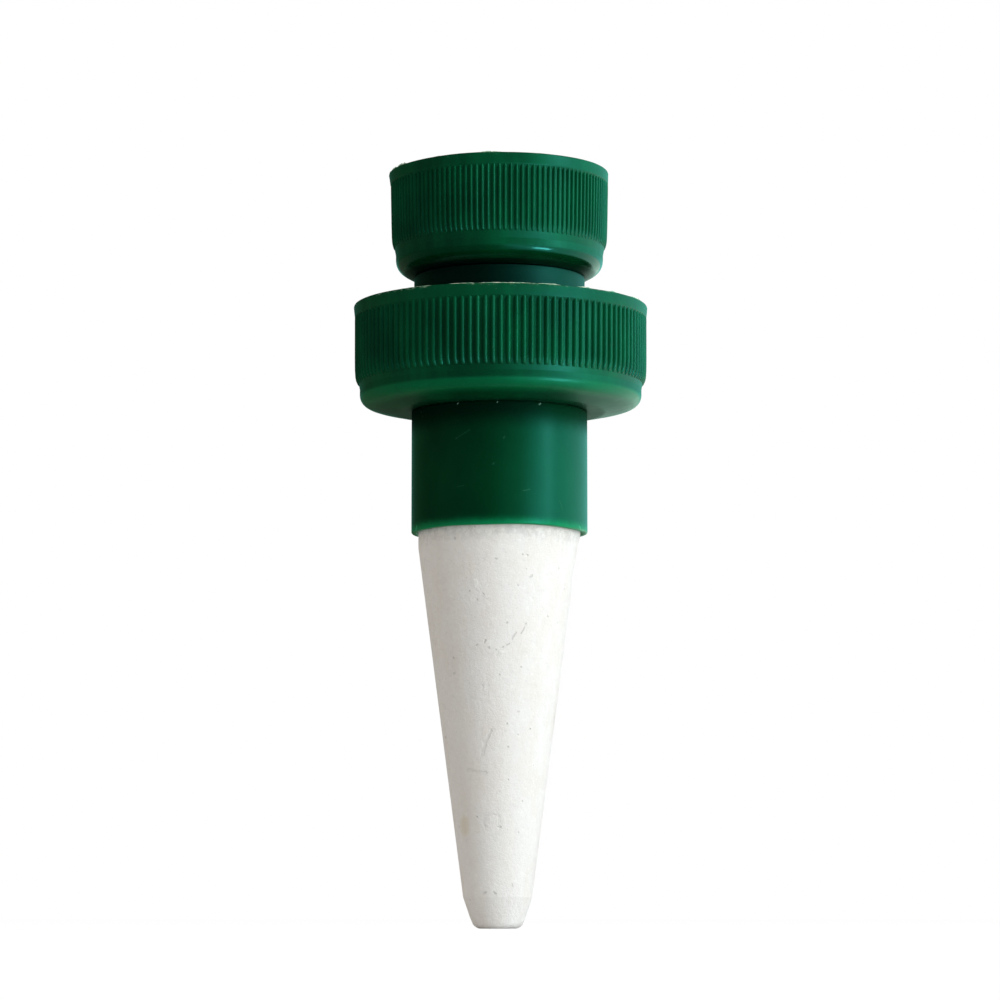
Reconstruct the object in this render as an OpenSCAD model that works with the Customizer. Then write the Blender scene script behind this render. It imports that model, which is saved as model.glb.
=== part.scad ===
// Plant watering spike: a porous ceramic cone in a plastic collar, with two bottle caps on the collar's
// neck. An upturned bottle screws into either cap, its mouth down, and waters the pot through the cone.
// The origin is the centre of the collar's lower edge, which is the soil line. +Z points to the bottle.

/* [Porous cone] */
// Length of the cone below the collar
cone_length = 54; // [44:1:70]
// Diameter where the straight taper ends, above the bevelled tip
cone_tip_d = 9.5; // [8.5:0.1:12]
// Diameter at the very end of the tip
tip_end_d = 6.6; // [5:0.1:7.6]
// Height of the bevelled tip
tip_bevel_h = 4.3; // [3:0.1:7]
// Radius of the rounded edge at the end of the tip
tip_round_r = 0.9; // [0.3:0.1:1.4]
// Wall of the ceramic beside the hollow
cone_wall = 3.1; // [2.4:0.1:3.2]
// Solid ceramic between the hollow and the end of the tip
tip_solid_h = 9; // [6:0.5:14]
// Length of the cone's spigot inside the collar
spigot_length = 11; // [8:0.5:12.5]

/* [Collar] */
// Wall of the neck, round the inlet bush
neck_wall = 2.15; // [1.8:0.05:2.5]
// Wall of the collar round the cone's spigot
collar_wall = 0.9; // [0.8:0.05:1.2]
// Length of the collar below the large cap
collar_length = 16.95; // [15:0.05:24]
// Width of the step that carries the large cap
neck_step = 0.3; // [0.2:0.05:0.6]
// Height of the snap bead above the neck's surface
bead_h = 0.4; // [0.25:0.05:0.6]
// Edge break at the collar's mouth
mouth_chamfer = 0.3; // [0.1:0.05:0.35]

/* [Large cap] */
// Diameter over the ribs of the large cap
large_d = 40.5; // [40.3:0.1:43]
// Height of the large cap
large_h = 14.75; // [14.5:0.05:18]
// Wall of the large cap, from the ribs to the bore
large_wall = 1.4; // [1.3:0.05:1.8]
// Height of the large cap's thread above the bore
large_thread_h = 1.1; // [1:0.05:1.4]
// Number of thread starts in the large cap
large_starts = 3; // [1:1:4]
// Advance of the large cap's thread in one turn
large_lead = 9.6; // [6:0.1:12]
// Turns of each thread start in the large cap
large_turns = 0.5; // [0.375:0.125:0.5]
// Rounding of the large cap's closed edge
large_edge_r = 1.5; // [1.2:0.1:1.8]
// Slope of the large cap's closed face, outside its seat
large_face_slope = 12; // [8:1:14]

/* [Small cap] */
// Diameter over the ribs of the small cap
small_d = 30.3; // [30.1:0.1:31]
// Height of the small cap
small_h = 14.85; // [14.6:0.05:18]
// Wall of the small cap, from the ribs to the bore
small_wall = 1.25; // [1.15:0.05:1.45]
// Height of the small cap's thread above the bore
small_thread_h = 1.2; // [0.9:0.05:1.25]
// Width of the seat on the small cap's floor, from the thread to the bore of the neck
small_seat = 3; // [2.9:0.1:3.3]
// Number of thread starts in the small cap
small_starts = 1; // [1:1:2]
// Advance of the small cap's thread in one turn
small_lead = 3.18; // [2.8:0.02:3.6]
// Turns of each thread start in the small cap
small_turns = 1.5; // [1.125:0.125:1.75]
// Rounding of the small cap's closed edge
small_edge_r = 2; // [1.4:0.1:2.2]
// Slope of the small cap's closed face, outside its seat
small_face_slope = 30; // [20:1:34]
// Space between the large cap's rim and the small cap
cap_gap = 4.1; // [2.5:0.05:10]

/* [Both caps] */
// Thickness of a cap's floor
floor_t = 1.5; // [1.2:0.1:1.8]
// Width of the flat seat on a cap's closed face, round its hole
face_seat = 2.5; // [2.3:0.1:2.8]
// Number of grip ribs round each cap
rib_count = 120; // [60:1:144]
// Depth of the grooves between the ribs
rib_depth = 0.36; // [0.2:0.02:0.44]
// Height of the plain band between the ribs and the rim
rim_band_h = 1.8; // [1.2:0.05:3]
// How far the rim flares out beyond the ribs
rim_flare = 0.28; // [0:0.02:0.6]
// Height of the plain foot below the step
foot_h = 3.1; // [3.1:0.1:3.6]
// Inset of the plain foot from the ribs
foot_inset = 0.75; // [0.35:0.05:0.8]
// Height of the sloping step above the foot
step_h = 1.55; // [1:0.05:2]
// Vertical slots that interrupt each turn of thread
vent_count = 8; // [6:1:10]
// Angle of each of these slots
vent_angle = 6; // [4:0.5:10]

/* [Seals and bush] */
// Thickness of the seal ring on top of the cone
seal_t = 1.5; // [1:0.1:2]
// Thickness of the two flat gaskets
gasket_t = 1.2; // [0.8:0.1:1.6]
// Wall of the inlet bush
bush_wall = 1.2; // [0.8:0.1:1.6]
// Length of the inlet bush inside the neck
bush_grip = 9; // [5:0.5:14]
// Diameter of the inlet bush's flange, inside the bottle's mouth
flange_d = 21.3; // [20.9:0.1:21.5]
// Thickness of the inlet bush's flange
flange_t = 1.2; // [0.8:0.1:1.6]

/* [Fits] */
// Radial clearance of the cone's spigot and seal ring in the socket
spigot_clearance = 0.06; // [0.03:0.01:0.1]
// Radial clearance of each cap's floor round what it turns on
turn_clearance = 0.08; // [0.04:0.01:0.1]
// Play between faces that turn or lift off each other
face_clearance = 0.05; // [0.02:0.01:0.1]
// Radial clearance of a glued or stretched fit
glue_clearance = 0.03; // [0.01:0.01:0.05]

/* [Hidden] */
$fn = 96;

cap_green = [0.02, 0.36, 0.20];
collar_green = [0.02, 0.33, 0.18];
ceramic_white = [0.93, 0.92, 0.90];
seal_black = [0.10, 0.10, 0.11];
gasket_clear = [0.86, 0.88, 0.86];

over = 1;            // how far a cutting solid passes what it cuts
root = 0.3;          // how deep a thread lug is rooted in its wall
lug_facets = 4;      // facets along one thread lug
rim_edge = 0.45;     // height of the upright edge of a rim
rim_break = 0.25;    // edge break round the top of a rim
rim_lip = 0.45;      // lead-in at the inner edge of a rim
groove_share = 0.52; // share of the pitch between ribs taken by a groove
groove_run = 0.7;    // length of the sloping end of a groove
draft = 0.1;         // how much narrower the ribs stand at their lower end
thread_base = 1.75;  // width of a thread ridge at the wall
thread_crest = 0.95; // width of a thread ridge at its crest
thread_gap = 0.1;    // from the top of the step to the first ridge
inner_step = 0.55;   // how much narrower a cap's bore is beside its foot

// Bores of the caps
large_bore_r = large_d / 2 - large_wall;
large_crest_r = large_bore_r - large_thread_h;
small_bore_r = small_d / 2 - small_wall;
small_crest_r = small_bore_r - small_thread_h;

// Collar and cone
neck_bore_r = small_crest_r - small_seat;
neck_r = neck_bore_r + neck_wall;
collar_r = neck_r + neck_step;
socket_r = collar_r - collar_wall;
spigot_r = socket_r - spigot_clearance;
seal_bottom = spigot_length;
socket_depth = spigot_length + seal_t + face_clearance;

// Heights up the neck
large_bottom = collar_length + face_clearance;
large_floor_top = large_bottom + floor_t;
large_gasket_bottom = large_floor_top + face_clearance;
bead_bottom = large_gasket_bottom + gasket_t + face_clearance;
bead_top = bead_bottom + 2 * bead_h;
large_rim = large_bottom + large_h;
small_bottom = large_rim + cap_gap;
neck_top = small_bottom - face_clearance;
small_floor_top = small_bottom + floor_t;
small_gasket_bottom = small_floor_top + face_clearance;
flange_bottom = small_gasket_bottom + gasket_t;
bush_r = neck_bore_r - glue_clearance;

// A ring of rectangular section between two radii
module ring(inner, outer, bottom, height) {
    translate([0, 0, bottom])
        difference() {
            cylinder(r = outer, h = height);
            translate([0, 0, -over]) cylinder(r = inner, h = height + 2 * over);
        }
}

// One helical ridge of a thread between two slots, from angle a0 to a1, in the wall of radius bore_r.
// It reaches past the crest, where the cap's module trims it to a true cylinder.
module thread_lug(bore_r, crest_r, lead, a0, a1) {
    section = [
        [bore_r + root, -thread_base / 2], [bore_r + root, thread_base / 2],
        [crest_r - root, thread_crest / 2], [crest_r - root, -thread_crest / 2]
    ];
    n = len(section);
    points = [
        for (i = [0:lug_facets], p = section)
            let (a = a0 + (a1 - a0) * i / lug_facets)
                [p[0] * cos(a), p[0] * sin(a), p[1] + lead * a / 360]
    ];
    sides = [
        for (i = [0:lug_facets - 1], j = [0:n - 1])
            let (a = i * n + j, b = i * n + (j + 1) % n, c = a + n, d = b + n)
                each [[a, b, c], [b, d, c]]
    ];
    last = lug_facets * n;
    ends = [[0, 2, 1], [0, 3, 2], [last, last + 1, last + 2], [last, last + 2, last + 3]];
    polyhedron(points = points, faces = concat(sides, ends));
}

// All the ridges of a cap's thread: the slots stand above each other from turn to turn
module thread(bore_r, crest_r, lead, turns, starts) {
    pitch = 360 / vent_count;
    for (s = [0:starts - 1], i = [0:round(turns * vent_count) - 1])
        rotate([0, 0, s * 360 / starts])
            thread_lug(bore_r, crest_r, lead, i * pitch + vent_angle / 2, (i + 1) * pitch - vent_angle / 2);
}

// The ring of grooves cut into a cap's side, each with a sloping end at top and bottom
module grooves(r, z0, z1) {
    bottom_r = r - rib_depth;
    wide = 360 / rib_count * groove_share / 2;
    narrow = wide * 0.55;
    far_r = r + over;
    far = wide + (wide - narrow) * over / rib_depth;
    outline = [
        for (i = [0:rib_count - 1], e = [[far_r, -far], [bottom_r, -narrow], [bottom_r, narrow], [far_r, far]])
            let (a = i * 360 / rib_count + e[1]) [e[0] * cos(a), e[0] * sin(a)]
    ];
    slope = groove_run / rib_depth;
    intersection() {
        translate([0, 0, z0 - over])
            linear_extrude(z1 - z0 + 2 * over)
                difference() {
                    circle(r = far_r + over);
                    polygon(outline);
                }
        rotate_extrude()
            polygon([
                [bottom_r - draft, z0 + groove_run], [bottom_r, z1 - groove_run],
                [r + over / 2, z1 + slope * over / 2], [r + over / 2, z0 - slope * over / 2]
            ]);
    }
}

// Half section of a cap's outside, with its closed end at height 0. The closed face is flat out to
// seat_r and slopes up from there to the rounded edge of the foot.
module cap_outside(r, h, edge_r, slope, seat_r) {
    foot_r = r - foot_inset;
    step_top = foot_h + step_h;
    face_r = foot_r - edge_r + edge_r * sin(slope);
    face_h = (face_r - seat_r) * tan(slope);
    edge_h = face_h + edge_r * cos(slope);
    polygon([
        [0, 0], [seat_r, 0], [face_r, face_h], [foot_r, edge_h], [foot_r, foot_h], [r - draft, step_top],
        [r, h - rim_band_h], [r + rim_flare, h - rim_edge], [r + rim_flare, h - rim_break],
        [r + rim_flare - rim_break, h], [0, h]
    ]);
    translate([foot_r - edge_r, edge_h]) circle(r = edge_r);
}

// Half section of a cap's hollow: a flat floor for the gasket, then the bore in two steps and the lead-in
module cap_inside(gasket_r, bore_r, h) {
    foot_bore = bore_r - inner_step;
    polygon([
        [0, floor_t], [gasket_r, floor_t], [foot_bore, floor_t + (foot_bore - gasket_r) * 1.4],
        [foot_bore, foot_h], [bore_r, foot_h + step_h], [bore_r, h - rim_lip],
        [bore_r + rim_lip, h], [bore_r + rim_lip, h + over], [0, h + over]
    ]);
}

// A knurled screw cap, open upwards, with a hole in its floor to turn on
module screw_cap(d, h, edge_r, slope, bore_r, crest_r, hole_r, lead, turns, starts) {
    r = d / 2;
    ribs_bottom = foot_h + step_h / 2;
    ribs_top = h - rim_band_h;
    first_ridge = foot_h + step_h + thread_gap + thread_base / 2;
    difference() {
        rotate_extrude()
            intersection() {
                difference() {
                    cap_outside(r, h, edge_r, slope, hole_r + face_seat);
                    cap_inside(crest_r, bore_r, h);
                }
                translate([0, -over]) square([r + 2 * over, h + 2 * over]);
            }
        grooves(r, ribs_bottom, ribs_top);
        translate([0, 0, -over]) cylinder(r = hole_r, h = floor_t + 2 * over);
    }
    difference() {
        translate([0, 0, first_ridge])
            thread(bore_r, crest_r, lead, turns, starts);
        translate([0, 0, floor_t]) cylinder(r = crest_r, h = h);
    }
}

// Slip-cast porous ceramic, hollow and closed at the tip, with a straight spigot for the collar
module porous_cone() {
    tip_z = -cone_length;
    end_r = tip_end_d / 2;
    hollow_r = spigot_r - cone_wall;
    taper = (spigot_r - cone_tip_d / 2) / (cone_length - tip_bevel_h);
    hollow_end = tip_z + tip_solid_h;
    hollow_end_r = hollow_r + taper * hollow_end;
    bevel_r = end_r + (cone_tip_d / 2 - end_r) * tip_round_r / tip_bevel_h;
    color(ceramic_white)
        rotate_extrude()
            difference() {
                union() {
                    polygon([
                        [0, tip_z], [end_r - tip_round_r, tip_z], [bevel_r, tip_z + tip_round_r],
                        [cone_tip_d / 2, tip_z + tip_bevel_h], [spigot_r, 0], [spigot_r, spigot_length],
                        [0, spigot_length]
                    ]);
                    intersection() {
                        translate([end_r - tip_round_r, tip_z + tip_round_r]) circle(r = tip_round_r);
                        translate([0, tip_z]) square([end_r, tip_round_r]);
                    }
                }
                polygon([
                    [0, hollow_end], [hollow_end_r, hollow_end], [hollow_r, 0],
                    [hollow_r, spigot_length + over], [0, spigot_length + over]
                ]);
            }
}

// Rubber ring that the cone carries up against the ledge inside the collar
module cone_seal() {
    color(seal_black)
        ring(spigot_r - cone_wall, spigot_r, seal_bottom, seal_t);
}

// Collar and neck in one moulding: socket, ledge, neck, and a snap bead over the large cap
module collar() {
    color(collar_green)
        rotate_extrude()
            polygon([
                [socket_r + mouth_chamfer, 0], [collar_r - mouth_chamfer, 0], [collar_r, mouth_chamfer],
                [collar_r, collar_length], [neck_r, collar_length],
                [neck_r, bead_bottom], [neck_r + bead_h, bead_bottom + bead_h / 2],
                [neck_r + bead_h, bead_bottom + bead_h], [neck_r, bead_top],
                [neck_r, neck_top], [neck_bore_r, neck_top],
                [neck_bore_r, socket_depth], [socket_r, socket_depth],
                [socket_r, mouth_chamfer]
            ]);
}

module large_cap() {
    color(cap_green)
        translate([0, 0, large_bottom])
            screw_cap(
                d = large_d, h = large_h, edge_r = large_edge_r, slope = large_face_slope,
                bore_r = large_bore_r, crest_r = large_crest_r, hole_r = neck_r + turn_clearance,
                lead = large_lead, turns = large_turns, starts = large_starts
            );
}

// Flat washer that grips the neck and lies on the large cap's floor, under the wide bottle's lip
module large_gasket() {
    color(gasket_clear)
        ring(neck_r + glue_clearance, large_crest_r - turn_clearance, large_gasket_bottom, gasket_t);
}

module small_cap() {
    color(cap_green)
        translate([0, 0, small_bottom])
            screw_cap(
                d = small_d, h = small_h, edge_r = small_edge_r, slope = small_face_slope,
                bore_r = small_bore_r, crest_r = small_crest_r, hole_r = bush_r + turn_clearance,
                lead = small_lead, turns = small_turns, starts = small_starts
            );
}

// Flat washer that grips the bush and lies on the small cap's floor, under the narrow bottle's lip
module small_gasket() {
    color(gasket_clear)
        ring(bush_r + glue_clearance, small_crest_r - turn_clearance, small_gasket_bottom, gasket_t);
}

// Flanged tube glued into the neck: it holds the small cap down and lets the water through
module inlet_bush() {
    color(collar_green)
        rotate_extrude()
            polygon([
                [bush_r - bush_wall, neck_top - bush_grip], [bush_r, neck_top - bush_grip],
                [bush_r, flange_bottom], [flange_d / 2, flange_bottom],
                [flange_d / 2, flange_bottom + flange_t], [bush_r - bush_wall, flange_bottom + flange_t]
            ]);
}

porous_cone();
cone_seal();
collar();
large_cap();
large_gasket();
small_cap();
small_gasket();
inlet_bush();
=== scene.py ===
import math

import bmesh
import bpy
from mathutils import Matrix, Vector, noise


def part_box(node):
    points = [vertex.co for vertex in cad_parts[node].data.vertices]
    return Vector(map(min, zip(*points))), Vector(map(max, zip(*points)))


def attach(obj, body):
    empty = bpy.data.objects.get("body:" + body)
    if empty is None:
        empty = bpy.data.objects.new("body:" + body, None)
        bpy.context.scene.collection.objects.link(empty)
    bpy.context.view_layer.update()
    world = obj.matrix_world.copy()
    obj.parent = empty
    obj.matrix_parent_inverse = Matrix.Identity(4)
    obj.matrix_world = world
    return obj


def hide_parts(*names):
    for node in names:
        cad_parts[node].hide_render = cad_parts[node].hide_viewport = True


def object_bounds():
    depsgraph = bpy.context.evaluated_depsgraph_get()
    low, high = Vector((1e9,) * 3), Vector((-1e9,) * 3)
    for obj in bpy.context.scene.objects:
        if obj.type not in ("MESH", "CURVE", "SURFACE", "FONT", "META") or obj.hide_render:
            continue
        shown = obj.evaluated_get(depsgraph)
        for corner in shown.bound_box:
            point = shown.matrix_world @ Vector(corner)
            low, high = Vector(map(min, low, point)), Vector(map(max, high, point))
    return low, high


print("Watering spike: loading the frame")
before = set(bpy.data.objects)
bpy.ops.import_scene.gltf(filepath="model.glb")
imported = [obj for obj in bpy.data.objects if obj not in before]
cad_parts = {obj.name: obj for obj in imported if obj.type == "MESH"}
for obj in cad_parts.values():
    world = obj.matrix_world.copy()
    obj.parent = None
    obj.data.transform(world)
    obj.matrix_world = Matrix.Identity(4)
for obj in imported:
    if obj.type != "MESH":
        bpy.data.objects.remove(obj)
cadBox = [list(corner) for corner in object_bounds()]
mm = 0.001
tau = 2 * math.pi


# small helpers for meshes

def rounded(corners, steps=5):
    # turns (r, z, radius) corners of a closed outline into points, with an arc at each corner
    points = []
    for i, (r, z, radius) in enumerate(corners):
        here = Vector((r, z))
        before = Vector(corners[i - 1][:2]) - here
        after = Vector(corners[(i + 1) % len(corners)][:2]) - here
        if radius <= 0 or before.length < 1e-6 or after.length < 1e-6:
            points.append((r, z))
            continue
        one, two = before.normalized(), after.normalized()
        half = one.angle(two) / 2
        reach = min(radius / math.tan(half), 0.8 * before.length, 0.8 * after.length)
        size = reach * math.tan(half)
        centre = here + (one + two).normalized() * (size / math.sin(half))
        start, end = here + one * reach - centre, here + two * reach - centre
        turn = start.angle(end)
        for k in range(steps + 1):
            share = k / steps
            mixed = (start * math.sin((1 - share) * turn) + end * math.sin(share * turn)) / math.sin(turn)
            points.append((centre.x + mixed.x, centre.y + mixed.y))
    return points


def finer(points, longest, closed=True):
    # adds points on the long straight stretches of an outline
    made = []
    for here, there in zip(points, points[1:] + points[:1] if closed else points[1:]):
        parts = max(1, math.ceil(math.dist(here, there) / longest))
        for k in range(parts):
            made.append(tuple(a + (b - a) * k / parts for a, b in zip(here, there)))
    return made if closed else made + [points[-1]]


def lathe(name, outline, segments, warp=None, closed=True):
    # turns an outline in mm about Z; warp(r, angle, z) may move each point, in mm
    mesh = bpy.data.meshes.new(name)
    bm = bmesh.new()
    rings = []
    for r, z in outline:
        ring = []
        for i in range(segments if r > 1e-6 else 1):
            angle = tau * i / segments
            rr, zz = warp(r, angle, z) if warp and r > 1e-6 else (r, z)
            ring.append(bm.verts.new((rr * math.cos(angle) * mm, rr * math.sin(angle) * mm, zz * mm)))
        rings.append(ring)
    pairs = list(zip(rings, rings[1:]))
    if closed:
        pairs.append((rings[-1], rings[0]))
    for low, high in pairs:
        for i in range(segments):
            j = (i + 1) % segments
            corners = [low[i % len(low)], low[j % len(low)], high[j % len(high)], high[i % len(high)]]
            bm.faces.new(list(dict.fromkeys(corners)))       # at a pole two corners are one
    bm.to_mesh(mesh)
    bm.free()
    return showMesh(name, mesh)


def showMesh(name, mesh, sharpAngle=50):
    mesh.shade_smooth()
    mesh.set_sharp_from_angle(angle=math.radians(sharpAngle))
    piece = bpy.data.objects.new(name, mesh)
    bpy.context.scene.collection.objects.link(piece)
    return piece


def give(piece, material):
    piece.data.materials.clear()
    piece.data.materials.append(material)


# small helpers for nodes

class Val:
    # an output socket that can stand in a sum
    def __init__(self, kit, socket):
        self.kit, self.socket = kit, socket

    def __add__(self, other):
        return self.kit.math("ADD", self, other)

    def __sub__(self, other):
        return self.kit.math("SUBTRACT", self, other)

    def __rsub__(self, other):
        return self.kit.math("SUBTRACT", other, self)

    def __mul__(self, other):
        return self.kit.math("MULTIPLY", self, other)

    def __truediv__(self, other):
        return self.kit.math("DIVIDE", self, other)

    __radd__ = __add__
    __rmul__ = __mul__


class Kit:
    # makes the nodes of one tree
    def __init__(self, tree):
        self.tree = tree
        tree.nodes.clear()

    def node(self, kind, settings=None, values=None, out=0):
        made = self.tree.nodes.new(kind)
        for key, value in (settings or {}).items():
            setattr(made, key, value)
        for key, value in (values or {}).items():
            if isinstance(value, Val):
                self.tree.links.new(value.socket, made.inputs[key])
            else:
                made.inputs[key].default_value = value
        return Val(self, made.outputs[out]) if len(made.outputs) else made

    def math(self, operation, *numbers, clamp=False):
        settings = {"operation": operation, "use_clamp": clamp}
        return self.node("ShaderNodeMath", settings, dict(enumerate(numbers)))

    def ramp(self, value, low, high):
        # 0 below low, 1 above high, smooth between them; low may be the larger
        if low > high:
            return 1 - self.ramp(value, high, low)
        return self.node("ShaderNodeMapRange", {"interpolation_type": "SMOOTHSTEP"},
                         {"Value": value, "From Min": low, "From Max": high})

    def mix(self, factor, one, two):
        # blends two colours, each a socket or plain (red, green, blue)
        one, two = [colour if isinstance(colour, Val) else (*colour, 1) for colour in (one, two)]
        return self.node("ShaderNodeMix", {"data_type": "RGBA"}, {0: factor, 6: one, 7: two}, out=2)

    def noise(self, place, scale, detail=2.0, roughness=0.5):
        return self.node("ShaderNodeTexNoise", {}, {
            "Vector": place, "Scale": scale, "Detail": detail, "Roughness": roughness})

    def cells(self, place, scale):
        # distance from the nearest of many scattered points
        return self.node("ShaderNodeTexVoronoi", {}, {"Vector": place, "Scale": scale})

    def place(self, scale=(1000, 1000, 1000)):
        # the piece's own coordinates in mm, stretched by scale
        here = self.node("ShaderNodeTexCoord", out="Object")
        return self.node("ShaderNodeVectorMath", {"operation": "MULTIPLY"}, {0: here, 1: scale})

    def split(self, vector):
        made = self.node("ShaderNodeSeparateXYZ", {}, {0: vector})
        return [Val(self, made.socket.node.outputs[k]) for k in range(3)]

    def away(self, s, z, ds=0.0, dz=0.0):
        # distance of two coordinates from a point
        return self.math("SQRT", self.math("POWER", s - ds, 2.0) + self.math("POWER", z - dz, 2.0))

    def strokes(self, s, z, marks):
        # 1 along each (start, end, half width) mark on the unrolled side, 0 past its half width
        found = None
        for start, end, width in marks:
            ds, dz = end[0] - start[0], end[1] - start[1]
            across, up = s - start[0], z - start[1]
            along = self.math("MULTIPLY", across * ds + up * dz, 1 / (ds * ds + dz * dz), clamp=True)
            line = self.ramp(self.away(across, up, along * ds, along * dz), width, width * 0.3)
            found = line if found is None else self.math("MAXIMUM", found, line)
        return found


def newMaterial(name):
    material = bpy.data.materials.new(name)
    material.use_nodes = True
    return material, Kit(material.node_tree)


def surface(kit, fixed, values, bump=None, dull=None):
    # the finished shader: fixed sockets are plain numbers, values may vary; dull is the share without shine
    if bump:
        height, strength, distance = bump
        values = {**values, "Normal": kit.node("ShaderNodeBump", {}, {
            "Height": height, "Strength": strength, "Distance": distance * mm})}
    shader = kit.node("ShaderNodeBsdfPrincipled", {}, {**fixed, **values})
    if dull:
        matt = kit.node("ShaderNodeBsdfPrincipled", {}, {
            "Base Color": values["Base Color"], "Roughness": 1.0, "Specular IOR Level": 0.0})
        shader = kit.node("ShaderNodeMixShader", {}, {0: dull, 1: shader, 2: matt})
    kit.node("ShaderNodeOutputMaterial", {}, {"Surface": shader})


# materials; marks are (start, end, half width) on the unrolled side, in mm, with 0 at the front

print("Watering spike: mixing the materials")

capLook = {"deep": (0.0004, 0.037, 0.010), "body": (0.0005, 0.072, 0.020), "worn": (0.02, 0.17, 0.09),
           "paintedFootLight": (0.001, 0.16, 0.05), "paintedFootShade": (0.0003, 0.018, 0.005), "shade": (0.0002, 0.006, 0.002),
           "fray": (0.34, 0.50, 0.36), "speck": (0.32, 0.42, 0.36), "roughness": 0.33,
           "edge": (0.4, 1.9)}                        # the foot's edge is smooth between these heights; there the large cap gets painted light and the small cap painted shade
gloss = {"Specular IOR Level": 0.45, "Specular Tint": (0.13, 1.0, 0.95, 1)}   # the green skin tints its shine


def capPlastic(c, bottom, rimHeight, look):
    material, kit = newMaterial(c["name"] + "Plastic")
    footLow, footHigh = bottom + look["edge"][0], bottom + look["edge"][1]
    radius, shaded = c["shaded"]                     # painted shade: the closed face is darker by the neck
    here = kit.place()
    x, y, z = kit.split(here)
    cloud = kit.noise(here, 0.12, 3.0)
    flow = kit.noise(kit.place((900, 900, 120)), 0.9, 2.0)       # faint flow lines up the side
    colour = kit.mix(kit.ramp(cloud + (flow - 0.5) * 0.4, 0.25, 0.8), look["deep"], look["body"])
    rubbed = kit.ramp(kit.noise(here, 1.7, 4.0, 0.7), 0.56, 0.78) * kit.ramp(z, rimHeight - 1.2, rimHeight)
    colour = kit.mix(rubbed * 0.7, colour, look["worn"])
    fray = kit.ramp(kit.noise(here, 0.8, 5.0, 0.75), 0.53, 0.64) * kit.ramp(x, *c["frayed"])
    colour = kit.mix(fray * kit.ramp(z, rimHeight - 0.42, rimHeight - 0.12) * 0.5, colour, look["fray"])
    specks = kit.ramp(kit.cells(here, 0.9), 0.09, 0.04) * kit.ramp(kit.noise(here, 0.31), 0.6, 0.7)
    colour = kit.mix(specks * 0.35, colour, look["speck"])
    haze = kit.noise(here, 0.6, 4.0, 0.6)
    # painted shade in the hollow between the caps, weaker towards the right
    inner = kit.ramp(kit.away(x, y), radius + 0.7, radius) * kit.ramp(z, footLow + 0.5, footLow)
    colour = kit.mix(inner * (shaded - kit.ramp(x, 2.0, 10.0) * 0.3 * shaded), colour, look["shade"])
    footEdgeBand = kit.ramp(z, footLow, footLow + 0.5) * kit.ramp(z, footHigh + 0.5, footHigh)
    # painted light on the large cap's foot edge and painted shade on the small cap's; the sign of lit picks
    # which
    colour = kit.mix(footEdgeBand * abs(c["lit"]), colour, look["paintedFootLight" if c["lit"] > 0 else "paintedFootShade"])
    surface(kit, gloss, {
        "Base Color": colour,
        "Roughness": look["roughness"] + haze * 0.12 + rubbed * 0.2 - footEdgeBand * c["polish"],
    }, bump=(kit.noise(here, 3.0, 3.0) + specks * 0.6, 0.2, 0.03))
    return material


# the neck colour is painted shade, for the neck between the caps and the top under the large cap
collarLook = {"dark": (0.0003, 0.028, 0.0065), "body": (0.0004, 0.041, 0.0095), "lip": (0.002, 0.19, 0.060),
              "neck": (0.0004, 0.007, 0.0035), "scratch": (0.08, 0.26, 0.15), "glint": (0.35, 0.62, 0.50),
              "burr": (0.10, 0.55, 0.33), "roughness": 0.27, "around": 12.15, "step": (16.9, 17.1),
              "scratches": [((-6.1, 12.0), (-4.1, 13.1), 0.06), ((-6.15, 11.95), (-6.0, 12.05), 0.14),
                            ((0.6, 11.9), (0.7, 12.05), 0.14), ((-0.85, 8.3), (-0.7, 8.5), 0.12),
                            ((3.3, 4.8), (4.25, 5.0), 0.08), ((8.9, 3.7), (9.6, 2.6), 0.08),
                            ((-5.9, 5.4), (-4.9, 5.5), 0.07), ((20.5, 5.0), (24.0, 8.4), 0.06),
                            ((-22.0, 12.0), (-18.9, 10.9), 0.06)],
              "glints": [((-5.9, 16.7), (-5.8, 16.85), 0.12), ((-0.3, 16.7), (-0.25, 16.8), 0.11),
                         ((5.6, 16.6), (5.8, 16.75), 0.14)],
              "burrs": [((13.6, 0.6), (14.3, 0.05), 0.17), ((-14.5, 0.75), (-15.0, 0.2), 0.15),
                        ((14.7, 0.2), (15.4, 0.15), 0.14)]}


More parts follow.
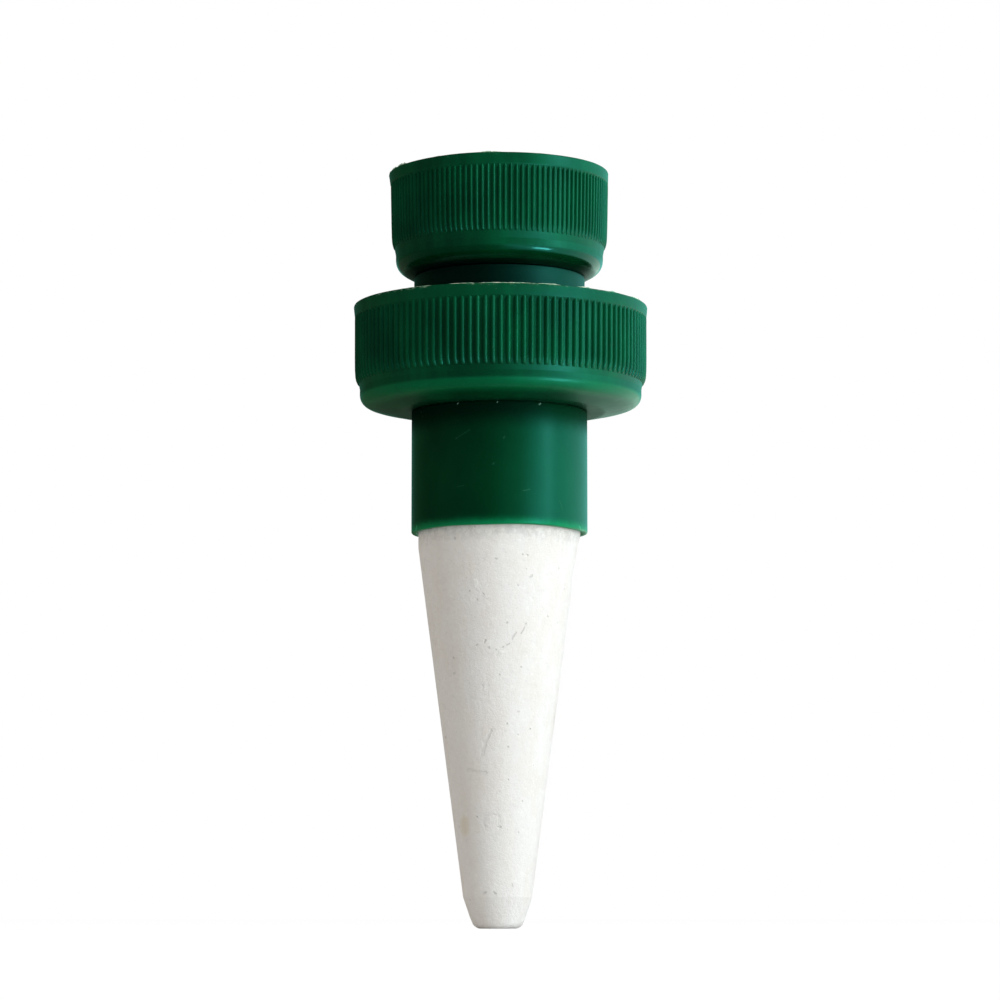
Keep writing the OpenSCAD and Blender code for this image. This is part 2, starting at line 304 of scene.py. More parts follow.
def collarPlastic(look):
    material, kit = newMaterial("collarPlastic")
    here = kit.place()
    x, y, z = kit.split(here)
    side = kit.math("ARCTAN2", x, 0 - y) * look["around"]         # arc length round the side
    cloud = kit.noise(here, 0.1, 3.0)
    wobble = kit.noise(here, 1.3, 2.0) - 0.5
    colour = kit.mix(kit.ramp(cloud, 0.3, 0.75), look["dark"], look["body"])
    under = kit.ramp(z + wobble * 0.4, 12.6, 16.0) * kit.ramp(z, 17.0, 16.9)      # painted shadow of the large cap on the top, lighter towards the right; its shine is mixed out there too
    colour = kit.mix(under * (0.85 - kit.ramp(x, 1.0, 9.0) * 0.55), colour, look["neck"])
    lip = kit.ramp(z + wobble * 0.4, 2.0, 0.1)
    colour = kit.mix(lip * lip, colour, look["lip"])       # painted light: the mouth is a brighter green, for light let in through its slim wall
    # painted shade: above the step the neck between the caps is near-black
    colour = kit.mix(kit.ramp(z, *look["step"]), colour, look["neck"])
    marks = kit.strokes(side + wobble * 0.3, z + wobble * 0.3, look["scratches"])
    specks = kit.ramp(kit.cells(here, 0.7), 0.08, 0.04) * kit.ramp(kit.noise(here, 0.27), 0.6, 0.7)
    glints = kit.strokes(side, z, look["glints"])
    colour = kit.mix(marks * 0.16 + specks * 0.2, colour, look["scratch"])
    burrs = kit.strokes(side + wobble * 0.4, z, look["burrs"])
    colour = kit.mix(glints * 0.4, colour, look["glint"])
    colour = kit.mix(burrs * 0.45, colour, look["burr"])
    haze = kit.noise(here, 0.5, 4.0, 0.6)
    surface(kit, gloss, {
        "Base Color": colour,
        "Roughness": look["roughness"] + haze * 0.1 + marks * 0.2 + kit.ramp(z, 13.5, 16.5) * 0.16,
    }, bump=(kit.noise(here, 1.6, 3.0) - marks * 0.6, 0.2, 0.03), dull=under * 0.8)
    return material


ceramicLook = {"body": (0.80, 0.79, 0.775), "warm": (0.755, 0.715, 0.675), "grey": (0.50, 0.49, 0.48),
               "chalk": (0.90, 0.90, 0.885), "stain": (0.62, 0.55, 0.34), "roughness": 0.85,
               "around": 11.2, "taper": 0.1296,      # radius at the mouth and how it grows with height
               "bubble": (-1.05, -39.6, 1.1),        # place and radius of a burst air bubble's rim
               "dents": [((1.75, -15.1), (2.25, -14.2), 0.15), ((3.05, -14.3), (3.5, -13.5), 0.15),
                         ((-1.5, -16.33), (-1.42, -16.33), 0.17), ((-0.6, -16.5), (-0.5, -16.5), 0.17),
                         ((0.4, -16.3), (0.5, -16.25), 0.17), ((1.0, -15.95), (1.3, -15.75), 0.14),
                         ((-2.05, -15.5), (-1.9, -15.3), 0.20), ((-3.2, -15.95), (-3.1, -15.85), 0.17),
                         ((-2.3, -21.3), (-2.15, -21.6), 0.16), ((3.65, -13.05), (3.72, -13.0), 0.13),
                         ((4.3, -6.8), (4.7, -6.6), 0.16), ((-2.3, -8.9), (-1.95, -9.2), 0.14),
                         ((1.0, -12.9), (1.05, -12.95), 0.18), ((-0.5, -4.3), (-0.4, -4.35), 0.15),
                         ((2.5, -7.9), (2.6, -7.9), 0.14), ((3.0, -18.9), (3.1, -18.9), 0.18),
                         ((-6.6, -19.5), (-6.5, -19.5), 0.2), ((-0.05, -40.4), (0.1, -40.3), 0.26),
                         ((-2.2, -49.2), (-1.9, -49.1), 0.16), ((-0.7, -49.1), (-0.55, -49.3), 0.2),
                         ((1.65, -48.0), (1.8, -48.2), 0.17), ((15.0, -12.0), (15.9, -11.4), 0.15),
                         ((-14.6, -24.0), (-13.9, -24.5), 0.15)],
               "crumbs": [((-3.3, -7.3), (-3.2, -7.8), 0.42), ((-3.0, -8.3), (-2.9, -8.4), 0.25),
                          ((-1.9, -9.4), (-1.7, -9.6), 0.2), ((-7.0, -9.1), (-6.8, -9.3), 0.3),
                          ((-2.2, -21.5), (-2.1, -21.9), 0.2), ((0.0, -16.8), (0.5, -16.9), 0.22)],
               "creases": [((-1.1, -27.4), (-1.95, -28.9), 0.36), ((-1.95, -28.9), (-2.4, -30.6), 0.42),
                           ((-4.5, -32.6), (-3.1, -32.95), 0.32), ((-3.1, -32.95), (-1.8, -33.1), 0.32)],
               "soaked": [((-5.3, -39.7), (-5.3, -40.5), 1.3)]}


def porousCeramic(look):
    material, kit = newMaterial("porousCeramic")
    here = kit.place()
    x, y, z = kit.split(here)
    side = kit.math("ARCTAN2", x, 0 - y) * (look["around"] + z * look["taper"])   # arc length round the taper
    cloud = kit.noise(kit.place((1000, 1000, 450)), 0.3, 5.0, 0.65)
    mottle = kit.noise(here, 1.4, 4.0, 0.7)
    grain = kit.noise(here, 5.0, 3.0, 0.7)
    wobble = kit.noise(here, 1.9, 3.0, 0.6) - 0.5
    shake = kit.noise(here, 1.1, 3.0, 0.7) - 0.5
    s, t = side + wobble * 0.8 + shake * 0.5, z + wobble * 0.4 - shake * 0.6
    colour = kit.mix(kit.ramp(cloud, 0.35, 0.75) * 0.7, look["body"], look["warm"])
    colour = kit.mix(kit.ramp(mottle, 0.52, 0.8) * 0.22, colour, look["grey"])
    colour = kit.mix(kit.ramp(mottle, 0.46, 0.25) * 0.5, colour, look["chalk"])
    pores = kit.ramp(kit.cells(here, 0.62), 0.13, 0.05) * kit.ramp(kit.noise(here, 0.9), 0.47, 0.56)
    pinholes = kit.ramp(kit.cells(here, 2.1), 0.17, 0.07) * kit.ramp(kit.noise(here, 1.1), 0.48, 0.58)
    pits = kit.math("MAXIMUM", kit.math("MAXIMUM", pores, pinholes * 0.6), kit.strokes(s, t, look["dents"]))
    crumbs = kit.strokes(s, t, look["crumbs"])
    creases = kit.strokes(s, t, look["creases"])
    left, low, radius = look["bubble"]
    ring = kit.ramp(kit.math("ABSOLUTE", kit.away(s, t, left, low) - radius), 0.42, 0.05)
    ring = ring * kit.ramp(kit.noise(here, 0.8), 0.30, 0.50)
    mouth = kit.ramp(z + wobble * 1.6, -2.6, -0.2) * kit.ramp(z + wobble * 1.6, 2.4, 0.2)
    mouth = mouth * kit.ramp(kit.noise(here, 1.1, 4.0, 0.7), 0.40, 0.62)
    colour = kit.mix(pits * 0.34 + mouth * 0.45 + ring * 0.15 + creases * 0.16, colour, look["grey"])
    colour = kit.mix(crumbs * 0.35, colour, look["chalk"])
    colour = kit.mix(kit.strokes(s, t, look["soaked"]) * 0.33, colour, look["stain"])
    height = cloud * 0.4 + mottle * 0.6 + grain * 0.35
    height = height - pits * 0.6 + crumbs * 0.22 - ring * 0.25 - creases * 0.3
    surface(kit, {"Specular IOR Level": 0.08}, {
        "Base Color": colour, "Roughness": look["roughness"] + grain * 0.1,
    }, bump=(height, 0.75, 0.24))
    return material


tornLook = {"dark": (0.10, 0.33, 0.20), "pale": (0.66, 0.74, 0.58), "roughness": 0.45}


def tornEdge(look):
    material, kit = newMaterial("tornEdge")
    shade = kit.ramp(kit.noise(kit.place(), 1.1, 3.0), 0.3, 0.7)
    surface(kit, {}, {
        "Base Color": kit.mix(shade, look["dark"], look["pale"]),
        "Roughness": look["roughness"] + shade * 0.2,
    })
    return material


gasketLook = {"name": "paleGasket", "dark": (0.58, 0.61, 0.57), "light": (0.74, 0.76, 0.72), "roughness": 0.5}
sealLook = {"name": "darkSeal", "dark": (0.018, 0.018, 0.02), "light": (0.05, 0.05, 0.052), "roughness": 0.65}


def rubber(look):
    material, kit = newMaterial(look["name"])
    here = kit.place()
    cloud = kit.noise(here, 0.5, 4.0, 0.6)
    dust = kit.ramp(kit.noise(here, 3.0, 3.0, 0.7), 0.55, 0.75)
    surface(kit, {"Specular IOR Level": 0.3}, {
        "Base Color": kit.mix(cloud * 0.8 + dust * 0.2, look["dark"], look["light"]),
        "Roughness": look["roughness"] + dust * 0.15,
    }, bump=(kit.noise(here, 4.0, 2.0), 0.2, 0.04))
    return material


collarMaterial = collarPlastic(collarLook)
ceramicMaterial = porousCeramic(ceramicLook)
tornMaterial = tornEdge(tornLook)
gasketMaterial = rubber(gasketLook)
sealMaterial = rubber(sealLook)


# copies round the axis: grip ribs and thread ridges

def roundTheAxis():
    # the tree stands copies of its mesh round Z, each turned and lifted from the last
    tree = bpy.data.node_groups.new("roundTheAxis", "GeometryNodeTree")
    sockets = {"Geometry": "Geometry", "Copies": "Int", "Copies per start": "Int", "Step angle": "Float",
               "Step rise": "Float", "Start angle": "Float", "Material": "Material"}
    for name, kind in sockets.items():
        tree.interface.new_socket(name, in_out="INPUT", socket_type="NodeSocket" + kind)
    tree.interface.new_socket("Geometry", in_out="OUTPUT", socket_type="NodeSocketGeometry")
    kit = Kit(tree)
    given = tree.nodes.new("NodeGroupInput")
    single, copies, perStart, stepAngle, stepRise, startAngle, material = [
        Val(kit, given.outputs[k]) for k in range(len(sockets))]
    number = kit.node("GeometryNodeInputIndex")
    start = kit.math("FLOOR", (number + 0.5) / perStart)
    place = number - start * perStart
    lift = kit.node("ShaderNodeCombineXYZ", {}, {"Z": place * stepRise})
    turn = kit.node("ShaderNodeCombineXYZ", {}, {"Z": place * stepAngle + start * startAngle})
    points = kit.node("GeometryNodePoints", {}, {"Count": copies, "Position": lift})
    stood = kit.node("GeometryNodeInstanceOnPoints", {}, {
        "Points": points, "Instance": single, "Rotation": turn})
    real = kit.node("GeometryNodeRealizeInstances", {}, {0: stood})
    painted = kit.node("GeometryNodeSetMaterial", {}, {"Geometry": real, "Material": material})
    kit.node("NodeGroupOutput", {}, {0: painted})
    return tree


axisTree = roundTheAxis()


def repeated(name, single, material, copies, perStart, stepAngle, stepRise=0.0, startAngle=0.0):
    # runs the tree on one mesh and keeps the result as a plain mesh
    carrier = bpy.data.objects.new(name + "Source", single)
    bpy.context.scene.collection.objects.link(carrier)
    modifier = carrier.modifiers.new("around", "NODES")
    modifier.node_group = axisTree
    wanted = {"Copies": copies, "Copies per start": perStart, "Step angle": stepAngle, "Step rise": stepRise,
              "Start angle": startAngle, "Material": material}
    for item in axisTree.interface.items_tree:
        if item.in_out == "INPUT" and item.name in wanted:
            modifier[item.identifier] = wanted[item.name]
    evaluated = carrier.evaluated_get(bpy.context.evaluated_depsgraph_get())
    mesh = bpy.data.meshes.new_from_object(evaluated)
    mesh.name = name
    bpy.data.objects.remove(carrier)
    bpy.data.meshes.remove(single)
    return showMesh(name, mesh, 60)


def loftedBar(name, rows):
    # a closed bar from rows of (x, y, z) points in mm, with flat ends
    mesh = bpy.data.meshes.new(name)
    bm = bmesh.new()
    rings = [[bm.verts.new([value * mm for value in point]) for point in row] for row in rows]
    for low, high in zip(rings, rings[1:]):
        for i in range(len(low)):
            j = (i + 1) % len(low)
            bm.faces.new((low[i], low[j], high[j], high[i]))
    bm.faces.new(rings[0][::-1])
    bm.faces.new(rings[-1])
    bmesh.ops.recalc_face_normals(bm, faces=bm.faces)
    bm.to_mesh(mesh)
    bm.free()
    return mesh


# the two caps, sizes in mm, angles in degrees from the right of the photo

largeCap = {
    "name": "largeCap", "node": "large_cap", "body": "large_cap",
    "ribRadius": 20.25, "ribs": 120, "ribDepth": 0.36, "ribWidth": 0.80, "draft": 0.1,
    "ribEnd": [(3.85, 0.52, 0.8), (4.05, 0.36, 0.92), (4.4, 0.20, 1.0), (4.9, 0.10, 1.0), (5.8, 0.04, 1.0),
               (7.5, 0.02, 1.0)],                     # lower end: height, depth, share of the width
    "shift": 0.17,                                    # the photo shows it a little off centre
    "foot": 3.1, "footInset": 0.75, "step": 1.55, "edgeRound": 1.5, "face": 2.5, "slope": 12,
    # lit: share of painted light on the foot edge, painted shade where negative
    "polish": 0.06, "lit": 0.45, "frayed": (-21.0, -19.0), "shaded": (12.6, 0.35),
    "rimBand": 1.8, "rimFlare": 0.20, "rimRoom": 0.09, "ribSunk": 0.12, "hole": 11.93, "floor": 1.5,
    "seat": 17.75, "bore": 18.85, "innerStep": 0.55, "lip": 0.45,
    "thread": 17.75, "lead": 9.6, "turns": 0.5, "starts": 3, "vents": 8, "ventAngle": 6, "firstRidge": 5.63,
    "rimRough": 0.04, "rimDrop": 0.0, "flash": 0.20, "torn": 0.15, "tornAt": (280.0, 50, 0.2), "seed": 3.0,
    "rimTilt": 0.08, "flare": [(180.0, 60, -0.07), (0.0, 60, -0.12)],   # angle, half width, amount
}
smallCap = {
    "name": "smallCap", "node": "small_cap", "body": "small_cap",
    "ribRadius": 15.15, "ribs": 120, "ribDepth": 0.32, "ribWidth": 0.80, "draft": 0.14,
    "ribEnd": [(4.05, 0.56, 0.8), (4.25, 0.42, 0.92), (4.6, 0.29, 1.0), (5.1, 0.20, 1.0), (5.8, 0.15, 1.0),
               (7.5, 0.10, 1.0)],
    "shift": 0.0,
    "foot": 3.1, "footInset": 0.75, "step": 1.55, "edgeRound": 2.0, "face": 2.5, "slope": 30,
    # lit: share of painted light on the foot edge, painted shade where negative
    "polish": 0.23, "lit": -0.6, "frayed": (-8.0, -12.0), "shaded": (12.9, 0.9),
    "rimBand": 1.8, "rimFlare": 0.03, "rimRoom": 0.09, "ribSunk": 0.12, "hole": 9.75, "floor": 1.5,
    "seat": 12.7, "bore": 13.9, "innerStep": 0.55, "lip": 0.45,
    "thread": 12.7, "lead": 3.18, "turns": 1.5, "starts": 1, "vents": 8, "ventAngle": 6, "firstRidge": 5.63,
    "rimRough": 0.04, "rimDrop": 0.18, "flash": 0.22, "torn": -0.1, "tornAt": (205.0, 28, 0.9), "seed": 11.0,
    "rimTilt": 0.0, "flare": [(180.0, 28, 0.24)],
}


def nearness(angle, centre, half):
    # 1 at the centre angle, fading over its half width
    away = abs((math.degrees(angle) - centre + 180) % 360 - 180)
    return math.exp(-(away / half) ** 2)


def capLevels(c, h):
    # radius of the foot and of the grooves, top of the step and of the ribs
    foot, groove = c["ribRadius"] - c["footInset"], c["ribRadius"] - c["ribDepth"]
    return foot, groove, c["foot"] + c["step"], h - c["rimBand"]


def rimShape(c, h, angle, height):
    # how far the rim wanders at this angle: out, up
    bend = 1.5                                        # it starts this far below the plain band
    ribTop = h - c["rimBand"]
    share = max(0.0, min(1.0, (height - ribTop + bend) / (h - ribTop + bend)))
    share = share * share
    x, y = math.cos(angle) * 2.2 + c["seed"], math.sin(angle) * 2.2
    out = noise.noise((x, y, 0.4)) * c["rimRough"]
    up = noise.noise((x, y, 7.3)) * c["rimRough"] - c["rimDrop"] * ((1 - math.cos(angle)) / 2) ** 2
    up -= c["rimTilt"] * math.cos(angle)
    for centre, half, amount in c["flare"]:
        out += amount * nearness(angle, centre, half)
    return out * share, up * share


def capShell(c, h, bottom):
    foot, groove, stepTop, ribTop = capLevels(c, h)
    seat = c["hole"] + c["face"]
    rise = (foot - seat) * math.tan(math.radians(c["slope"]))
    rim, rimRadius = h - c["rimRoom"], c["ribRadius"] + c["rimFlare"]
    outline = finer(rounded([
        (c["hole"], 0, 0.15), (seat, 0, 3.0), (foot, rise, c["edgeRound"]), (foot, c["foot"], 0.7),
        (groove - c["draft"], stepTop, 0.9), (groove, ribTop - 0.3, 0.25),
        (c["ribRadius"], ribTop + 0.15, 0.3), (rimRadius, h - 0.24, 0.12), (rimRadius - 0.05, rim, 0.06),
        (c["bore"] + c["lip"], rim, 0.15), (c["bore"], rim - c["lip"], 0.3), (c["bore"], stepTop, 0.8),
        (c["bore"] - c["innerStep"], c["foot"], 0.8), (c["bore"] - c["innerStep"], c["floor"] + 0.7, 0.25),
        (c["seat"], c["floor"], 0.1), (c["hole"], c["floor"], 0.15),
    ], 6), 0.9)

    def warp(r, angle, z):
        out, up = rimShape(c, h, angle, z)
        off = c["shift"] * max(0.0, min(1.0, (r - c["hole"]) / c["face"])) * math.cos(angle)
        return r + out + off, z + bottom + up

    return lathe(c["name"], outline, 240, warp)


def gripRibs(c, h, bottom, material):
    # one rib in rows across it, from its toe on the step to the plain band, then copied round
    foot, groove, stepTop, ribTop = capLevels(c, h)
    half = math.pi * c["ribRadius"] / c["ribs"] * c["ribWidth"]
    r = c["ribRadius"]
    spine = [(height, r - dip, narrow) for height, dip, narrow in c["ribEnd"]]
    spine += [(ribTop - 1.0, r - 0.01, 1.0), (ribTop - 0.3, r, 1.0), (ribTop + 0.25, r - 0.02, 0.95)]
    rows = []
    for height, peak, narrow in spine:
        drafted = c["draft"] * max(0.0, min(1.0, (ribTop - height) / (ribTop - stepTop)))
        base = groove - drafted - c["ribSunk"]
        if height < stepTop:
            onStep = (height - c["foot"]) / c["step"] * (groove - c["draft"] - foot)
            base = min(base, foot - c["ribSunk"] + onStep)
        ring = []
        for k in range(7):
            u = k / 3 - 1
            ring.append((base + (peak - base) * (1 - u * u) ** 0.75, half * narrow * u, height + bottom))
        rows.append(ring)
    ribs = repeated(c["name"] + "Ribs", loftedBar("rib", rows), material, c["ribs"], c["ribs"],
                    tau / c["ribs"])
    ribs.data.transform(Matrix.Translation((c["shift"] * mm, 0, 0)))
    return ribs


def threadRidges(c, bottom, material):
    # the thread inside, in short ridges with vents between them
    pitchAngle = tau / c["vents"]
    vent = math.radians(c["ventAngle"])
    parts = 10
    rows = []
    for i in range(parts + 1):
        share = i / parts
        angle = vent / 2 + (pitchAngle - vent) * share
        rise = c["lead"] * angle / tau + c["firstRidge"] + bottom
        end = min(1.0, 0.35 + min(share, 1 - share) * parts * 0.65)           # the ends slope off
        crest = c["bore"] - (c["bore"] - c["thread"]) * end
        profile = [(c["bore"] + 0.15, -0.82), (crest + 0.25, -0.62 * end), (crest + 0.03, -0.42 * end),
                   (crest, -0.2 * end)]
        profile += [(r, -dz) for r, dz in reversed(profile)]
        rows.append([(r * math.cos(angle), r * math.sin(angle), rise + dz) for r, dz in profile])
    perStart = round(c["turns"] * c["vents"])
    return repeated(c["name"] + "Thread", loftedBar("ridge", rows), material, perStart * c["starts"],
                    perStart, pitchAngle, c["lead"] * mm / c["vents"], tau / c["starts"])


def tornRim(c, h, bottom):
    # the torn flash left on the rim where the safety ring broke off
    mesh = bpy.data.meshes.new(c["name"] + "Flash")
    bm = bmesh.new()
    count, rings = 540, []
    for i in range(count):
        angle = tau * i / count
        across, along = math.cos(angle), math.sin(angle)
        out, up = rimShape(c, h, angle, h)
        patch = noise.noise((across * 6 + c["seed"], along * 6, 2.2))
        jag = noise.noise((across * 34 + c["seed"], along * 34, 5.2))
        centre, half, more = c["tornAt"]
        torn = min(1.0, max(0.0, c["torn"] + more * nearness(angle, centre, half) + patch * 2.0))
        rim = h - c["rimRoom"] + up
        tall = min(max(0.01, c["flash"] * torn * (0.8 + jag * 0.9)), h - rim)
        middle = c["ribRadius"] + c["rimFlare"] - 0.22 + out + jag * 0.06 + c["shift"] * across
        root, lean = rim - 0.05, patch * 0.04
        ring = []
        for dr, z in ((0.13, root), (0.05 + lean, rim + tall), (-0.02 + lean, rim + tall), (-0.13, root)):
            r = middle + dr
            ring.append(bm.verts.new((r * across * mm, r * along * mm, (z + bottom) * mm)))
        rings.append(ring)
    for i in range(count):
        one, two = rings[i], rings[(i + 1) % count]
        for k in range(4):
            bm.faces.new((one[k], two[k], two[(k + 1) % 4], one[(k + 1) % 4]))
    bmesh.ops.recalc_face_normals(bm, faces=bm.faces)
    bm.to_mesh(mesh)
    bm.free()
    flash = showMesh(c["name"] + "Flash", mesh, 30)
    give(flash, tornMaterial)
    return flash


def makeCap(c):
    low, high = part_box(c["node"])
    bottom, top = low[2] / mm, high[2] / mm
    h = top - bottom
    shell = capShell(c, h, bottom)
    material = capPlastic(c, bottom, top, capLook)
    give(shell, material)
    ribs = gripRibs(c, h, bottom, material)
    threads = threadRidges(c, bottom, material)
    flash = tornRim(c, h, bottom)
    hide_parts(c["node"])
    for piece in (shell, ribs, threads, flash):
        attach(piece, c["body"])


print("Watering spike: turning the caps")
makeCap(largeCap)
makeCap(smallCap)


# the collar with its neck

print("Watering spike: turning the collar")

collar = {"radius": 12.15, "wall": 0.9, "step": 16.95, "neck": 11.85, "neckBore": 9.7, "socketDepth": 12.55,
          "bead": 0.4, "beadFrom": 19.8, "mouthRound": 0.28, "mouthUneven": 0.16}


def makeCollar(c):
    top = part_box("collar")[1][2] / mm
    outer, socket, neck = c["radius"], c["radius"] - c["wall"], c["neck"]
    bead = neck + c["bead"]
    outline = finer(rounded([
        (socket, 0.02, c["mouthRound"]), (outer, 0.02, c["mouthRound"]), (outer, c["step"], 0.12),
        (neck, c["step"], 0.05), (neck, c["beadFrom"], 0.05), (bead, c["beadFrom"] + 0.2, 0.12),
        (bead, c["beadFrom"] + 0.4, 0.15), (neck, c["beadFrom"] + 0.8, 0.1), (neck, top, 0.1),
        (c["neckBore"], top, 0.1), (c["neckBore"], c["socketDepth"], 0.1), (socket, c["socketDepth"], 0.1),
    ]), 1.0)

    def warp(r, angle, z):
        # the mouth is a little uneven, as cut
        share = max(0.0, 1 - z / 3)
        wander = noise.noise((math.cos(angle) * 1.6, math.sin(angle) * 1.6, 3.1)) * share
        return r, z + max(0.0, (0.12 + wander * c["mouthUneven"])) * share * share

    piece = lathe("collarMoulding", outline, 240, warp)
    give(piece, collarMaterial)
    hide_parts("collar")
    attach(piece, "collar")


makeCollar(collar)

bush = {"radius": 9.67, "wall": 1.2, "flange": 10.65, "flangeHeight": 1.2}


def makeBush(c):
    low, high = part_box("inlet_bush")
    bottom, top = low[2] / mm, high[2] / mm
    inner = c["radius"] - c["wall"]
    under = top - c["flangeHeight"]
    outline = finer(rounded([
        (inner, bottom, 0.2), (c["radius"], bottom, 0.2), (c["radius"], under, 0.05),
        (c["flange"], under, 0.1), (c["flange"], top, 0.35), (inner, top, 0.45),
    ]), 1.0)
    piece = lathe("inletBush", outline, 160)
    give(piece, collarMaterial)
    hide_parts("inlet_bush")
    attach(piece, "collar")


makeBush(bush)


# the ceramic cone

print("Watering spike: casting the cone")

cone = {"tipRadius": 3.3, "bevelRadius": 4.75, "bevelHeight": 4.3, "mouthRadius": 11.19, "spigot": 11.0,
        "wall": 3.1, "solidTip": 9.0, "tipRoom": 0.05, "tipTrim": 0.04, "mouthTrim": 0.01, "roughness": 0.045,
        "lean": -0.24}


def makeCone(c):
    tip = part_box("porous_cone")[0][2] / mm
    inner = c["mouthRadius"] - c["wall"]
    taper = (c["mouthRadius"] - c["bevelRadius"]) / (-tip - c["bevelHeight"])
    hollowEnd = tip + c["solidTip"]
    low, side = tip + c["tipRoom"], c["mouthRadius"] - c["mouthTrim"]
    outline = rounded([
        (0, low, 0), (c["tipRadius"] - c["tipTrim"], low, 1.2),
        (c["bevelRadius"] - c["tipTrim"], tip + c["bevelHeight"], 0.8),
        (side, 0, 2.0), (side, c["spigot"], 0.4), (inner, c["spigot"], 0.4),
        (inner, 0, 2.0), (inner + taper * hollowEnd, hollowEnd, 0.8), (0, hollowEnd, 0),
    ])
    # the outline stays open: from the tip's pole over the spigot down to the hollow's pole
    loop = finer(outline, 0.42, closed=False)

    def warp(r, angle, z):
        place = Vector((r * math.cos(angle), r * math.sin(angle), z))
        slow = noise.noise(place * 0.16) * 0.25 + noise.noise(place * 0.45) * 0.25
        fast = noise.noise(place * 1.3) * 0.4 + noise.noise(place * 2.9) * 0.3
        depth = c["roughness"] * (slow + fast)
        if z > -0.2:
            depth *= 0.3                              # the spigot is smoother
        chip = max(0.0, 1 - (z - tip) / 2.0) * max(0.0, noise.noise(place * 0.8)) * 0.25
        lean = c["lean"] * max(0.0, min(1.0, -z / 1.9)) * min(1.0, r)
        return r - abs(depth) - chip * min(1.0, r / 2) + lean * math.cos(angle), z + chip * 0.3

    piece = lathe("ceramicCone", loop, 200, warp, closed=False)
    give(piece, ceramicMaterial)
    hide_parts("porous_cone")
    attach(piece, "cone")


makeCone(cone)


# seals and gaskets

def makeRing(name, node, body, material, bore, edge):
    low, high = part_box(node)
    outer, bottom, top = high[0] / mm, low[2] / mm, high[2] / mm
    corners = [(bore, bottom, edge), (outer, bottom, edge), (outer, top, edge), (bore, top, edge)]
    piece = lathe(name, finer(rounded(corners, 4), 0.8), 200)
    give(piece, material)
    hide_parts(node)
    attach(piece, body)


print("Watering spike: cutting the seals")
makeRing("coneSeal", "cone_seal", "cone", sealMaterial, bore=8.09, edge=0.3)
makeRing("largeGasket", "large_gasket", "collar", gasketMaterial, bore=11.88, edge=0.12)
makeRing("smallGasket", "small_gasket", "collar", gasketMaterial, bore=9.7, edge=0.12)


# studio, with places and sizes in metres and the lens in mm

print("Watering spike: lighting the studio")

studio = {"floorGap": 0.0002, "floorReach": 4.0, "floorGrey": (0.68, 0.68, 0.68), "floorGlow": 1.06,
          "floorSeen": 0.9,
          "floorLeft": (0.08, 0.12, 0.075), "floorRight": (1.1, 1.6, 1.35),      # as the plastic mirrors it
          "roomLeft": (0.73, 0.66, 0.575), "roomRight": (0.43, 0.455, 0.48),     # lights the object
          "sideLeft": (0.01, 0.02, 0.015), "sideRight": (0.5, 2.2, 1.7),         # as the plastic mirrors it
          "backLeft": (0.035, 0.12, 0.06), "backRight": (0.40, 1.5, 1.35)}       # the same behind the object
lamps = [
    {"name": "softKey", "place": (0.67, -0.47, 0.34), "aim": (0, 0, 0), "size": (0.5, 0.5),
     "power": 3.2, "colour": (0.98, 0.99, 1.0), "shiny": False},
    {"name": "windowStrip", "place": (0.55, -0.245, 0.33), "aim": (0, 0, 0), "size": (0.11, 0.56),
     "power": 1.15, "colour": (0.95, 1.0, 0.98), "shiny": True},
    {"name": "lowCard", "place": (0.150, -0.133, -0.040), "aim": (0, 0, 0.038), "size": (0.07, 0.045),
     "power": 0.14, "colour": (0.92, 1.0, 1.0), "shiny": True},
]
photoView = {"place": (0.00008, -0.4939, -0.05251), "tiltUp": 6.623, "sensor": 36, "lens": 129.6,
             "nearest": 0.01}


def layFloor(s):
    mesh = bpy.data.meshes.new("studioFloor")
    reach, z = s["floorReach"], cadBox[0][2] - s["floorGap"]
    corners = [(-reach, -reach, z), (reach, -reach, z), (reach, reach, z), (-reach, reach, z)]
    mesh.from_pydata(corners, [], [(0, 1, 2, 3)])
    floor = bpy.data.objects.new("studioFloor", mesh)
    bpy.context.scene.collection.objects.link(floor)
    material, kit = newMaterial("paleFloor")
    seen = kit.node("ShaderNodeLightPath", out="Is Camera Ray")
    glossy = kit.node("ShaderNodeLightPath", out="Is Glossy Ray")
    glow = kit.node("ShaderNodeEmission", {}, {"Color": (1, 1, 1, 1), "Strength": s["floorGlow"]})
    x = kit.split(kit.place((1, 1, 1)))[0]
    mirrored = kit.node("ShaderNodeEmission", {}, {
        "Color": kit.mix(kit.ramp(x, -0.02, 0.12), s["floorLeft"], s["floorRight"]), "Strength": 1.0})
    matt = kit.node("ShaderNodeBsdfDiffuse", {}, {"Color": (*s["floorGrey"], 1)})
    plain = kit.node("ShaderNodeMixShader", {}, {0: glossy, 1: matt, 2: mirrored})
    shader = kit.node("ShaderNodeMixShader", {}, {0: seen * s["floorSeen"], 1: plain, 2: glow})
    kit.node("ShaderNodeOutputMaterial", {}, {"Surface": shader})
    give(floor, material)


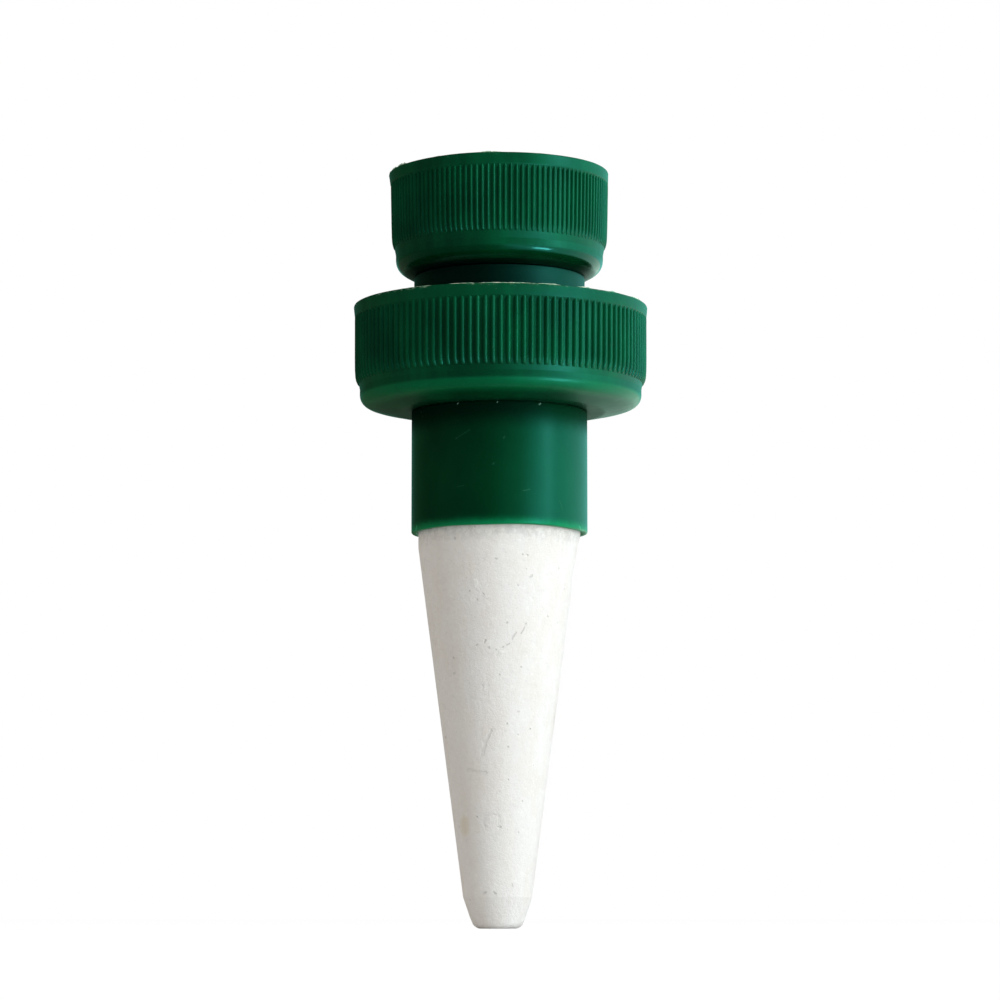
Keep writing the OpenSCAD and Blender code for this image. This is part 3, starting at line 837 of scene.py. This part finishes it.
def paintRoom(s):
    world = bpy.data.worlds.new("studio")
    bpy.context.scene.world = world
    world.use_nodes = True
    kit = Kit(world.node_tree)
    dx, dy = kit.split(kit.node("ShaderNodeTexCoord", out="Generated"))[:2]
    seen = kit.node("ShaderNodeLightPath", out="Is Camera Ray")
    glossy = kit.node("ShaderNodeLightPath", out="Is Glossy Ray")
    through = kit.node("ShaderNodeLightPath", out="Is Transmission Ray")
    room = kit.mix(kit.ramp(dx, -1.0, 0.6), s["roomLeft"], s["roomRight"])
    side = kit.mix(kit.ramp(dx, 0.45, 0.98), s["sideLeft"], s["sideRight"])
    back = kit.mix(kit.ramp(dx, -0.6, 0.6), s["backLeft"], s["backRight"])
    dim = kit.mix(kit.ramp(dy, 0.1, 0.8) * 0.8, side, back)
    shown = kit.mix(kit.math("MAXIMUM", glossy, through), room, dim)
    background = kit.node("ShaderNodeBackground", {}, {
        "Color": kit.mix(seen, shown, (1, 1, 1)), "Strength": 1.0})
    kit.node("ShaderNodeOutputWorld", {}, {"Surface": background})


def softLamp(s):
    lamp = bpy.data.lights.new(s["name"], "AREA")
    lamp.shape, lamp.size, lamp.size_y = "RECTANGLE", s["size"][0], s["size"][1]
    lamp.energy, lamp.color = s["power"], s["colour"]
    holder = bpy.data.objects.new(s["name"], lamp)
    holder.location = s["place"]
    holder.rotation_euler = (Vector(s["aim"]) - Vector(s["place"])).to_track_quat("-Z", "Y").to_euler()
    holder.visible_glossy = s["shiny"]
    bpy.context.scene.collection.objects.link(holder)


def photoCamera(v):
    data = bpy.data.cameras.new("photoCamera")
    data.sensor_width = v["sensor"]
    data.lens = v["lens"]
    data.clip_start = v["nearest"]
    camera = bpy.data.objects.new("photoCamera", data)
    camera.location = v["place"]
    camera.rotation_euler = (math.radians(90 + v["tiltUp"]), 0, 0)
    bpy.context.scene.collection.objects.link(camera)
    bpy.context.scene.camera = camera


layFloor(studio)
paintRoom(studio)
for lampSizes in lamps:
    softLamp(lampSizes)
photoCamera(photoView)
bpy.context.scene.view_settings.view_transform = "Standard"

print("Watering spike: done")
